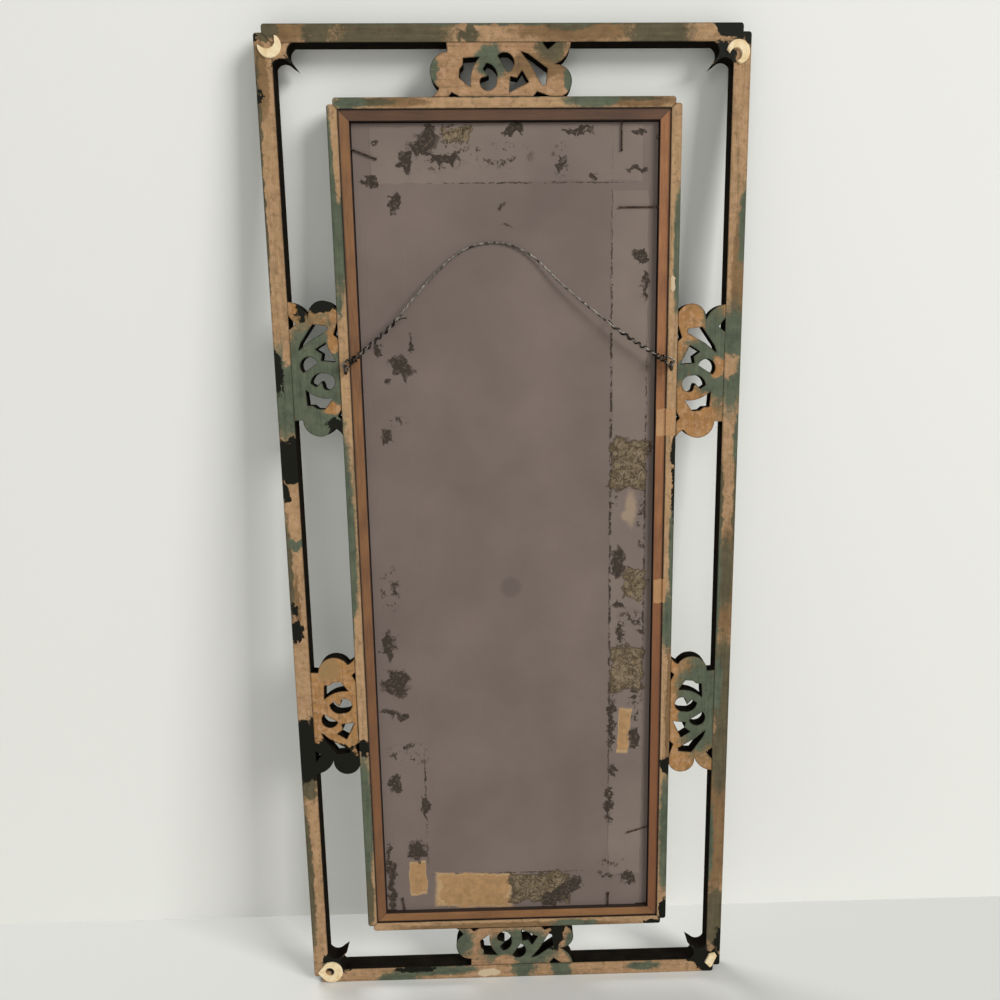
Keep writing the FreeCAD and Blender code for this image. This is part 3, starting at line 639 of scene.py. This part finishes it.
# Thin board in old mauve-grey distemper. Paper tape once ran round it, was painted over and partly torn off:
# dark chips, crackled glue, bare brown paper and a row of dark nicks along the tape's edges.
boardLook = dict(
    grey=("#7b6d66", "#6d605a"), tape=("#84766c", "#736660"), dark="#3b332c", scuff="#5b4e43",
    stain="#695d57", pale="#988470",
    paper=("#b08a60", "#8f7250", "#b4966f"), glue=("#86765f", "#665843", "#43382b"),
    chip=6, nick=2.6, flake=2.2, cloud=90, crease=8,  # sizes in mm
    torn=(10, 20), rim=(4, 3.5), cut=(26, 9), crumpled=(14, 24),  # mm: how coarse and how far rims wander
    calmShare=0.7, calm=-0.35, raggedShare=1.5, ragged=-0.7,
    flecks=0.57, edges=0.49, sparseness=9,  # noise peaks that show as nicks, and how sharply
    paperRim=-0.42, glueRim=0.07, wrinkles=4.0, foldAt=0.5,
    tone=span(0.3, 0.7), mottle=span(0.52, 0.7), paperTone=span(0.35, 0.7), fold=span(0.02, 0.24),
    glueTone=span(0.4, 0.62), relief=0.2, roughness=0.82,
)
boardPatches = dict(
    dark=[
        (-88, 806, 6, 10), (-74, 818, 10, 9), (-66, 829, 8, 8), (-55, 807, 13, 6), (-113, 819, 2, 3),
        (-120, 789, 8, 4.5), (-100, 772, 5, 9), (7, 831, 11, 4), (63, 830, 16, 3), (48, 801, 4, 8),
        (76, 791, 2, 4), (118, 829, 6, 3), (116, 799, 7, 3), (119, 725, 6, 8), (123, 698, 3, 14),
        (-119, 643, 4, 4), (-99, 629, 11, 9, 32), (-110, 616, 3, 4), (-115, 565, 5, 6), (-120, 364, 7, 17),
        (-115, 324, 13, 15), (-115, 291, 15, 4, 12), (-121, 216, 8, 10), (-92, 191, 3.5, 14),
        (-101, 143, 10, 11), (-129, 115, 4.5, 38), (46, 92, 25, 8, -36), (114, 107, 10, 6, 25),
        (93, 111, 8, 2.5), (94, 189, 2.5, 20), (102, 442, 7, 16), (103, 400, 8, 5), (104, 372, 4, 9),
        (96, 276, 4, 28), (119, 261, 5, 14), (99, 227, 4, 6), (-4, 768, 3, 2), (0, 751, 3, 1.5),
        (-88, 648, 1.2, 10),
    ],
    glue=[
        (-42, 827, 11, 6), (111, 536, 17, 24, 6), (117, 420, 10, 16, 5), (111, 334, 16, 23),
        (24, 98, 30, 16.5),
    ],
    paper=[(-44, 97, 39, 19, 2), (-100.5, 113, 8, 19), (108.6, 269, 5.5, 23, 3)],
    stain=[(-1.5, 419, 10, 10)],
    pale=[(113, 494, 5, 16), (109, 487, 5, 5), (111, 268, 3, 20)],
    flecks=[
        (49, 806, 9, 13), (-42, 829, 14, 7), (-7, 810, 28, 10), (-117, 420, 9, 22), (-105, 249, 21, 12),
        (-109, 579, 15, 5), (97, 127, 12, 7), (112, 375, 16, 19), (97, 325, 5, 28), (119, 300, 6, 32),
        (97, 515, 4, 22), (123, 480, 4, 26), (-60, 814, 26, 16),
    ],
    edges=[
        (93.5, 480, 1.1, 300), (126, 470, 1.0, 170), (-90, 190, 1.0, 60), (20, 787, 90, 0.6),
        (-12, 116, 78, 0.7),
    ],
)


def agedBoard(name, look, tones):
    material, tree, _, place, flat = newMaterial(name)
    chip = addNode(
        tree, "TexNoise", {"Vector": place, "Scale": 1 / look["chip"], "Detail": 5, "Roughness": 0.68},
    )[0]
    nick = addNode(tree, "TexNoise", {"Vector": place, "Scale": 1 / look["nick"], "Detail": 2})[0]
    cloud = addNode(tree, "TexNoise", {"Vector": place, "Scale": 1 / look["cloud"], "Detail": 4})[0]
    torn, rim, cut, crumpled = (
        wander(tree, place, flat, size, (far, far))
        for size, far in (look[kind] for kind in ("torn", "rim", "cut", "crumpled"))
    )
    calm = addNode(
        tree, "Math", {0: chip, 1: look["calmShare"], 2: look["calm"]}, operation="MULTIPLY_ADD",
    )[0]
    broken, rough = flakes(tree, torn, look["flake"])
    ragged = addNode(
        tree, "Math", {0: rough, 1: look["raggedShare"], 2: look["ragged"]}, operation="MULTIPLY_ADD",
    )[0]
    tone = addNode(tree, "MapRange", {"Value": cloud, **look["tone"]})[0]
    light, deep = (linear(code) for code in tones)
    coat = addNode(tree, "Mix", {0: tone, 6: light, 7: deep}, data_type="RGBA")[2]
    mottle = addNode(tree, "MapRange", {"Value": nick, **look["mottle"]})[0]
    dark = addNode(
        tree, "Mix", {0: mottle, 6: linear(look["dark"]), 7: linear(look["scuff"])}, data_type="RGBA",
    )[2]
    for kind, uneven, blur in (("stain", 0.0, 0.25), ("pale", calm, 0.4)):
        field = patchField(tree, rim, boardPatches[kind], uneven)
        coat, _ = laidOver(tree, coat, linear(look[kind]), field, blur)
    # flecks only where the noise peaks inside their zones, and dashes along the tape's edges
    sharp = look["sparseness"]
    for kind in ("flecks", "edges"):
        zone = patchField(tree, rim, boardPatches[kind], 0.0)
        sparse = addNode(
            tree, "Math", {0: chip, 1: -sharp, 2: sharp * look[kind] + 1}, operation="MULTIPLY_ADD",
        )[0]
        field = addNode(tree, "Math", {0: zone, 1: sparse}, operation="MAXIMUM")[0]
        coat, _ = laidOver(tree, coat, dark, field, blur=0.3)
    # bare brown paper, with a paler rim
    light, deep, edge = (linear(code) for code in look["paper"])
    tone = addNode(tree, "MapRange", {"Value": chip, **look["paperTone"]})[0]
    paper = addNode(tree, "Mix", {0: tone, 6: light, 7: deep}, data_type="RGBA")[2]
    field = patchField(tree, cut, boardPatches["paper"], 0.0, square=True)
    coat, _ = laidOver(tree, coat, edge, field)
    field = addNode(tree, "Math", {0: field, 1: chip})[0]
    field = addNode(tree, "Math", {0: field, 1: look["paperRim"]})[0]
    coat, _ = laidOver(tree, coat, paper, field)
    # glue: dark at its rim and along wrinkles, which follow the levels of a twisted noise
    crease = addNode(
        tree, "TexNoise",
        {"Vector": rim, "Scale": 1 / look["crease"], "Detail": 3, "Roughness": 0.6, "Distortion": 1.4},
    )[0]
    crease = addNode(tree, "Math", {0: crease, 1: look["wrinkles"]}, operation="MULTIPLY")[0]
    crease = addNode(tree, "Math", {0: crease, 1: look["foldAt"]}, operation="PINGPONG")[0]
    crease = addNode(tree, "MapRange", {"Value": crease, **look["fold"]})[0]
    light, deep, edge = (linear(code) for code in look["glue"])
    tone = addNode(tree, "MapRange", {"Value": chip, **look["glueTone"]})[0]
    glue = addNode(tree, "Mix", {0: tone, 6: light, 7: deep}, data_type="RGBA")[2]
    glue = addNode(tree, "Mix", {0: crease, 6: edge, 7: glue}, data_type="RGBA")[2]
    field = patchField(tree, crumpled, boardPatches["glue"], 0.0, square=True)
    coat, _ = laidOver(tree, coat, edge, field)
    field = addNode(tree, "Math", {0: field, 1: look["glueRim"]})[0]
    coat, _ = laidOver(tree, coat, glue, field)
    coat, _ = laidOver(tree, coat, dark, patchField(tree, broken, boardPatches["dark"], ragged), blur=0.1)
    relief = addNode(tree, "Bump", {"Height": nick, "Strength": 0.5, "Distance": look["relief"] * mm})[0]
    shader = addNode(
        tree, "BsdfPrincipled",
        {
            "Base Color": coat, "Roughness": look["roughness"], "Normal": relief, "IOR": 1.45,
            "Specular IOR Level": 0.2,
        },
    )
    addNode(tree, "OutputMaterial", {0: shader[0]})
    return material


distemper = agedBoard("distemperedBoard", boardLook, boardLook["grey"])
dress(distemper, "backing_board")


def addPaper(name, along, low, high, under, look, thick, material, upright=False):
    # a flat band: its section gives shares of the way from low to high edge, and shares of its thickness
    share, rise = np.array(look["section"]).T
    across = low[:, None] + (high - low)[:, None] * share
    depth = np.broadcast_to(np.reshape(under, (-1, 1)) - thick * rise, across.shape)
    length = np.broadcast_to(along[:, None], across.shape)
    order = (across, depth, length) if upright else (length, depth, across)
    piece = sweptPiece(name, [np.stack(order, axis=-1) * mm], material, smooth=False)
    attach(piece, "frame")


# Two scraps of gummed brown paper that lap from the right liner on to the stile. Places in mm.
scraps = dict(
    liner=-8.5, stile=-10.0, fold=0.9, thick=0.22, pale="#b98f63", deep="#94683f", grain=(0.6, 1, 0.6),
    section=[(0, 0.1), (0.02, 1), (0.5, 1.1), (0.98, 1), (1, 0.1), (0.5, 0)],
    highWaves=[(0.5, 1.7, 0)], lowWaves=[(0.6, 2.3, 1)], slope=0.05, steps=60,
    places=[("Upper", 134.9, 151.6, 563.0, 587.5), ("Lower", 134.9, 146.0, 402.5, 425.5)],
)


def addScrap(name, left, right, low, high, material):
    # its underside follows the liner, then steps to the stile, and its edges waver
    along = np.linspace(left, right, scraps["steps"])
    step = [liner["side"] - scraps["fold"], liner["side"]]
    under = np.interp(along, step, [scraps["liner"], scraps["stile"]])
    high = high + wavering(along, scraps["highWaves"]) + scraps["slope"] * (along - left)
    low = low + wavering(along, scraps["lowWaves"])
    addPaper(f"tapeScrap{name}", along, low, high, under, scraps, scraps["thick"], material)


gummedPaper = bareWood("gummedPaper", scraps["pale"], scraps["deep"], scraps["pale"], scraps["grain"])
for place in scraps["places"]:
    addScrap(*place, gummedPaper)

# Painted-over tape: one flat strip a side, in mm: from and to along it, its middle across, width, thickness.
tape = dict(
    board=-3.0, steps=140,
    section=[(0, 0), (0.012, 1), (0.25, 1.1), (0.5, 1), (0.75, 1.1), (0.988, 1), (1, 0), (0.5, 0)],
    right=(112, 780, 110.0, 33, 0.22), left=(150, 770, -108.0, 34, 0.06),
    top=(-118, 120, 811.0, 47, 0.2), bottom=(-124, 122, 95.0, 40, 0.06),
)


def addTape(side, material):
    # its edges run half its width from its middle, and waver
    start, end, middle, width, thick = tape[side]
    along = np.linspace(start, end, tape["steps"])
    lowWaves = [(0.5, 7.3, middle), (0.4, 2.9, 0), (0.9, 41, 0)]
    highWaves = [(0.5, 6.1, 2), (0.4, 3.3, 1), (0.9, 53, middle)]
    low = middle - width / 2 + wavering(along, lowWaves)
    high = middle + width / 2 + wavering(along, highWaves)
    upright = side in ("left", "right")
    addPaper(f"paperTape{side.title()}", along, low, high, tape["board"], tape, thick, material, upright)


tapePaper = agedBoard("paintedPaperTape", boardLook, boardLook["tape"])
for side, paper in (("right", tapePaper), ("left", distemper), ("top", tapePaper), ("bottom", distemper)):
    addTape(side, paper)
print("backing board dressed")


# Cream felt discs, torn and thinned: a soft matt surface, yellowed in blotches.
# The fuzz is far coarser than felt's own fibres, so that it shows.
padLook = dict(
    pale="#f0dcb4", yellow="#ddbf8a", fuzz=0.9, blotch=7, tone=span(0.42, 0.72), relief=0.3, roughness=0.95,
)


def agedFelt(name, look):
    material, tree, _, place, _ = newMaterial(name)
    fuzz = addNode(tree, "TexNoise", {"Vector": place, "Scale": 1 / look["fuzz"], "Detail": 4})[0]
    stain = addNode(tree, "TexNoise", {"Vector": place, "Scale": 1 / look["blotch"], "Detail": 3})[0]
    tone = addNode(tree, "MapRange", {"Value": stain, **look["tone"]})[0]
    colour = addNode(
        tree, "Mix", {0: tone, 6: linear(look["pale"]), 7: linear(look["yellow"])}, data_type="RGBA",
    )[2]
    relief = addNode(tree, "Bump", {"Height": fuzz, "Strength": 0.7, "Distance": look["relief"] * mm})[0]
    shader = addNode(
        tree, "BsdfPrincipled",
        {"Base Color": colour, "Roughness": look["roughness"], "Normal": relief, "Sheen Weight": 0.3},
    )
    addNode(tree, "OutputMaterial", {0: shader[0]})
    return material


# What is left of four round pads, in mm about each pad's middle: the two edges of a torn strip,
# or one rim about a hole. A place with four numbers is an arc's middle and end.
padSolid = dict(
    base=-10.0, thick=2.0, count=72, steps=25, blunt=18, endBlunt=30, endDrop=0.9,
    ripple=0.03, ripples=26, sag=0.02, sags=37, fill=0.9, lineSteps=30, arcSteps=60,
)
padShapes = dict(
    top_left=dict(
        middle=(-197.8, 896.6),
        inner=[(-7.4, -0.4), (-0.8, -2.2, 4.6, 2.2), (4.6, 8.2)],
        outer=[(-9.9, 1.1), (0, -10, 6.6, 7.5)],
    ),
    top_right=dict(
        middle=(199.5, 890.5),
        inner=[(-7.0, -1.4), (1.5, 1.5, -1.4, -7.0)],
        outer=[(-9.8, 1.7), (7.07, 7.07, 1.7, -9.8)],
    ),
    bottom_left=dict(
        middle=(-195, 13.1), hole=4.5,
        outer=[(-4.2, -10.4), (13.3, -0.6, -3.6, 9.6), (-12.6, -1.0), (-4.2, -10.4)],
    ),
    bottom_right=dict(
        middle=(201.4, 13.4),
        inner=[(-2.4, 7.6), (-6.8, -2.2), (-0.9, -8.2)],
        outer=[(3.6, 8.8), (6.0, 4.8), (1.0, -6.6)],
    ),
)


def tracedEdge(places, count):
    # lines and three-point arcs, spaced evenly by length
    line = [np.array([places[0]])]
    for spot in places[1:]:
        here, there = line[-1][-1], np.array(spot[-2:])
        if len(spot) == 2:
            line.append(np.linspace(here, there, padSolid["lineSteps"]))
            continue
        via = np.array(spot[:2])
        sides = 2 * np.stack([via - here, there - here])
        centre = np.linalg.solve(sides, [via @ via - here @ here, there @ there - here @ here])
        spokes = np.stack([here, via, there]) - centre
        turns = np.unwrap(np.arctan2(spokes[:, 1], spokes[:, 0]))
        sweep = np.linspace(turns[0], turns[2], padSolid["arcSteps"])
        line.append(centre + np.linalg.norm(spokes[0]) * np.stack([np.cos(sweep), np.sin(sweep)], axis=-1))
    line = np.concatenate(line)
    run = runAlong(line)
    return pointsAt(line, run, np.linspace(0, run[-1], count))


def addPad(corner, shape, material):
    # a felt strip between two edges: across it the height follows (1 - (2 share - 1) ^ blunt) ^ 0.5
    # with a fine ripple, and along it the height sags a little and drops at open ends
    count, ring = padSolid["count"], "hole" in shape
    outer = tracedEdge(shape["outer"], count + ring)[:count]
    inner = shape["hole"] * unit(outer) if ring else tracedEdge(shape["inner"], count)
    share = 0.5 - 0.5 * np.cos(np.linspace(0, math.pi, padSolid["steps"]))
    ripple = padSolid["ripple"] * (1 + np.cos(share * padSolid["ripples"]))
    height = np.sqrt(1 - (2 * share - 1) ** padSolid["blunt"]) * (1 - ripple)
    share = np.concatenate([share, [0.66, 0.33]])  # two places on the underside
    height = np.concatenate([height, [0, 0]])
    along = np.linspace(0, 1, count)
    ends = 0 if ring else (2 * along - 1) ** padSolid["endBlunt"] * padSolid["endDrop"]
    lengthwise = np.sqrt(1 - ends) * (1 - padSolid["sag"] * (1 + np.sin(along * padSolid["sags"])))
    rise = padSolid["thick"] * height * lengthwise[:, None]
    across = inner[:, None] + (outer - inner)[:, None] * share[None, :, None]
    x, z = (across[..., axis] + shape["middle"][axis] for axis in (0, 1))
    grid = np.stack([x, padSolid["base"] - rise, z], axis=-1) * mm
    pad = sweptPiece(f"feltPad{corner.title().replace('_', '')}", [grid], material, looped=ring)
    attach(pad, "frame")
    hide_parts(f"bumper_pad_{corner}")


felt = agedFelt("tornCreamFelt", padLook)
for corner, shape in padShapes.items():
    addPad(corner, shape, felt)

# Screw eyes in tarnished steel, nearly black, and thin brads gone brown with rust.
eyeSteel = dict(bright="#554d44", dark="#231d18", tarnish=2.5, roughness=0.42)
bradSteel = dict(bright="#5a4a40", dark="#33261f", tarnish=2.0, roughness=0.5)
dress(dullSteel("tarnishedSteelEyes", eyeSteel), "screw_eye_left", "screw_eye_right")
dress(dullSteel("rustedBrads", bradSteel), "retaining_brads")

# Silvered plate glass: a clear reflection, with dark bloom creeping in from the edges.
mirrorLook = dict(
    side=133.7, foot=77.3, head=836.7, reach=16, spots=9,  # mm: the glass, and how far in the bloom goes
    silver="#dfe4e2", bloom="#4d4a44", hold=0.44, holdGain=0.4, loss=span(0.0, 0.16, 0.85),
    roughness=0.03, bloomRoughness=0.4,
)


def silveredGlass(name, look):
    material, tree, _, place, _ = newMaterial(name)
    _, _, rim = fromSides(tree, place, look)
    spots = addNode(
        tree, "TexNoise", {"Vector": place, "Scale": 1 / look["spots"], "Detail": 6, "Roughness": 0.7},
    )[0]
    hold = addNode(
        tree, "Math",
        {0: rim, 1: look["holdGain"] / look["reach"], 2: look["hold"]}, operation="MULTIPLY_ADD",
    )[0]
    loss = addNode(tree, "Math", {0: spots, 1: hold}, operation="SUBTRACT")[0]
    colour, loss = dusted(tree, linear(look["silver"]), linear(look["bloom"]), loss, look["loss"])
    rough = addNode(
        tree, "Math", {0: loss, 1: look["bloomRoughness"], 2: look["roughness"]}, operation="MULTIPLY_ADD",
    )[0]
    shader = addNode(tree, "BsdfPrincipled", {"Base Color": colour, "Metallic": 1.0, "Roughness": rough})
    addNode(tree, "OutputMaterial", {0: shader[0]})
    return material


dress(silveredGlass("silveredMirrorGlass", mirrorLook), "mirror_plate")
print("fixings, pads and mirror dressed")

# Lengths in m. A lamp is its name, its place, what it points at, its width and its power.
studio = dict(
    wide=4, floor="#e6e6e1", backdrop="#ebebe6", backdropFoot=0.1, backdropLean=-0.0955,
    sky="#f2f3f1", skyLight=0.3, skySeen=0.9,
    lamps=[
        ("keyLamp", (6.2, -5.2, 4.2), (0, 0, 0.5), 3.4, 620),
        ("fillLamp", (-0.3, -2.2, 1.3), (0, 0, 0.45), 1.2, 6),
        ("frontLamp", (-1.3, 1.3, 2.1), (0, 0, 0.45), 1.3, 30),
    ],
)


def addStudio(look):
    # the backdrop shows only to a camera in front of it, so it shades nothing and hides nothing from behind
    upright, tree, *_ = newMaterial("paleBackdrop")
    path = addNode(tree, "LightPath")
    behind = addNode(tree, "NewGeometry")["Backfacing"]
    front = addNode(tree, "Math", {0: 1, 1: behind}, operation="SUBTRACT")[0]
    seen = addNode(tree, "Math", {0: front, 1: path["Is Camera Ray"]}, operation="MULTIPLY")[0]
    clear = addNode(tree, "BsdfTransparent")
    chalk = addNode(tree, "BsdfDiffuse", {"Color": linear(look["backdrop"])})
    shown = addNode(tree, "MixShader", {0: seen, 1: clear[0], 2: chalk[0]})
    addNode(tree, "OutputMaterial", {0: shown[0]})
    ground, tree, *_ = newMaterial("paleFloor")
    chalk = addNode(tree, "BsdfDiffuse", {"Color": linear(look["floor"])})
    addNode(tree, "OutputMaterial", {0: chalk[0]})
    wide, deep = look["wide"], look["backdropFoot"]
    over = deep + wide * look["backdropLean"]
    sheets = (
        ("backdrop", upright, [(-wide, deep, 0), (wide, deep, 0), (wide, over, wide), (-wide, over, wide)]),
        ("floor", ground, [(-wide, -wide, 0), (wide, -wide, 0), (wide, wide, 0), (-wide, wide, 0)]),
    )
    for name, material, points in sheets:
        mesh = bpy.data.meshes.new(name)
        mesh.from_pydata(points, [], [(0, 1, 2, 3)])
        mesh.materials.append(material)
        sheet = bpy.data.objects.new(name, mesh)
        scene.collection.objects.link(sheet)
    for name, place, aim, size, power in look["lamps"]:
        data = bpy.data.lights.new(name, "AREA")
        data.size = size
        data.energy = power
        lamp = bpy.data.objects.new(name, data)
        lamp.location = place
        lamp.rotation_euler = (Vector(aim) - Vector(place)).to_track_quat("-Z", "Y").to_euler()
        scene.collection.objects.link(lamp)
    # the world is bright to the camera and in reflections, and soft as a light
    world = bpy.data.worlds.new("paleRoom")
    world.use_nodes = True
    scene.world = world
    tree = world.node_tree
    tree.nodes.clear()
    path = addNode(tree, "LightPath")
    looked = addNode(
        tree, "Math", {0: path["Is Camera Ray"], 1: path["Is Glossy Ray"]}, operation="MAXIMUM",
    )[0]
    level = addNode(
        tree, "MapRange", {"Value": looked, "To Min": look["skyLight"], "To Max": look["skySeen"]},
    )[0]
    sky = addNode(tree, "Background", {"Color": linear(look["sky"]), "Strength": level})
    addNode(tree, "OutputWorld", {0: sky[0]})


addStudio(studio)
print("studio lit")
